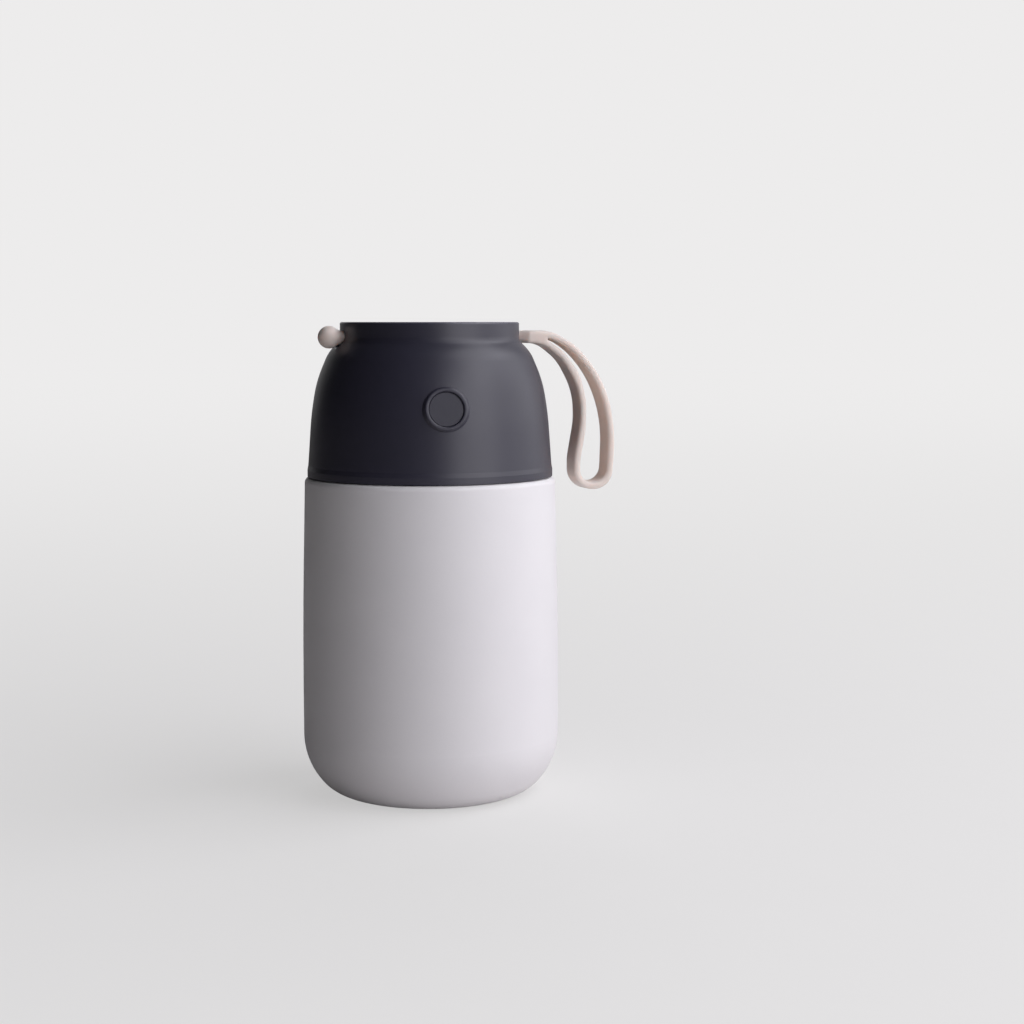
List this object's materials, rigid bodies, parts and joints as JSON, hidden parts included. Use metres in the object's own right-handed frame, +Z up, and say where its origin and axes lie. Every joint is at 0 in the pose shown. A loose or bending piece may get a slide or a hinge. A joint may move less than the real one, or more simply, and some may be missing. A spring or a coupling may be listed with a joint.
{
  "type": "insulated food jar",
  "caption": "Double-walled steel food jar with a screw stopper, a dark dome lid that turns over to be a bowl, a vent button and a silicone carrying strap.",
  "frame": {"origin": "on the jar's axis, on the surface that its foot stands on", "axes": "+Z up along the jar; +X from the axis to the strap's loop; the lid's button faces -Y, turned 9.4 degrees towards -X"},
  "size_m": [0.131, 0.104, 0.191],
  "materials": {
    "body_coat": "matt white powder coat",
    "steel": "brushed",
    "solder": "dull",
    "foil": "bright foil",
    "spring_steel": "drawn wire",
    "lid_plastic": "fine matt moulding",
    "button_plastic": "fine matt moulding",
    "dark_plastic": "satin moulding",
    "seal_silicone": "matt silicone",
    "strap_silicone": "matt blush silicone",
    "foam": "foam"
  },
  "bodies": {
    "jar": {"outer_shell": "body_coat", "base_plate": "steel", "vacuum_plug": "solder", "getter": "steel", "inner_liner": "steel", "liner_foil": "foil", "neck_collar": "dark_plastic"},
    "lid_gasket": {"lid_seal": "seal_silicone"},
    "lid": {"lid_bowl": "lid_plastic", "vent_spring": "spring_steel"},
    "vent": {"vent_button": "button_plastic", "vent_seal": "seal_silicone", "vent_clip": "dark_plastic"},
    "strap": {"carry_strap": "strap_silicone"},
    "stopper_gasket": {"stopper_seal": "seal_silicone"},
    "stopper": {"stopper_body": "dark_plastic", "stopper_cap": "dark_plastic", "stopper_foam": "foam", "release_spring": "spring_steel"},
    "release": {"release_button": "button_plastic", "release_valve": "seal_silicone", "release_clip": "dark_plastic"}
  },
  "joints": [
    {"name": "lid_rise", "type": "slide", "parent": "jar", "child": "lid_gasket", "axis": [0, 0, 1], "range_m": [0, 0.096]},
    {"name": "lid_turn", "type": "hinge", "parent": "lid_gasket", "child": "lid", "pos_m": [0, 0, 0.1293], "axis": [0, 0, 1], "range_deg": [0, 1440]},
    {"name": "stopper_rise", "type": "slide", "parent": "jar", "child": "stopper_gasket", "axis": [0, 0, 1], "range_m": [0, 0.048]},
    {"name": "stopper_turn", "type": "hinge", "parent": "stopper_gasket", "child": "stopper", "pos_m": [0, 0, 0.1488], "axis": [0, 0, 1], "range_deg": [0, 1440]},
    {"name": "vent_press", "type": "slide", "parent": "lid", "child": "vent", "axis": [0.1611, 0.9731, -0.1644], "range_m": [0, 0.0015], "stiffness_N_per_m": 800, "springref_m": -0.002, "deforming": ["vent_spring"]},
    {"name": "release_press", "type": "slide", "parent": "stopper", "child": "release", "axis": [0, 0, -1], "range_m": [0, 0.002], "stiffness_N_per_m": 600, "springref_m": -0.002, "deforming": ["release_spring"]},
    {"name": "strap_swing", "type": "hinge", "parent": "lid", "child": "strap", "pos_m": [0, 0, 0.185], "axis": [1, 0, 0], "continuous": true}
  ],
  "couplings": [
    {"joint": "lid_rise", "follows": "lid_turn", "m_per_rad": 0.0038197},
    {"joint": "stopper_rise", "follows": "lid_turn", "m_per_rad": 0.0019099},
    {"joint": "stopper_turn", "follows": "lid_turn", "ratio": 1}
  ]
}
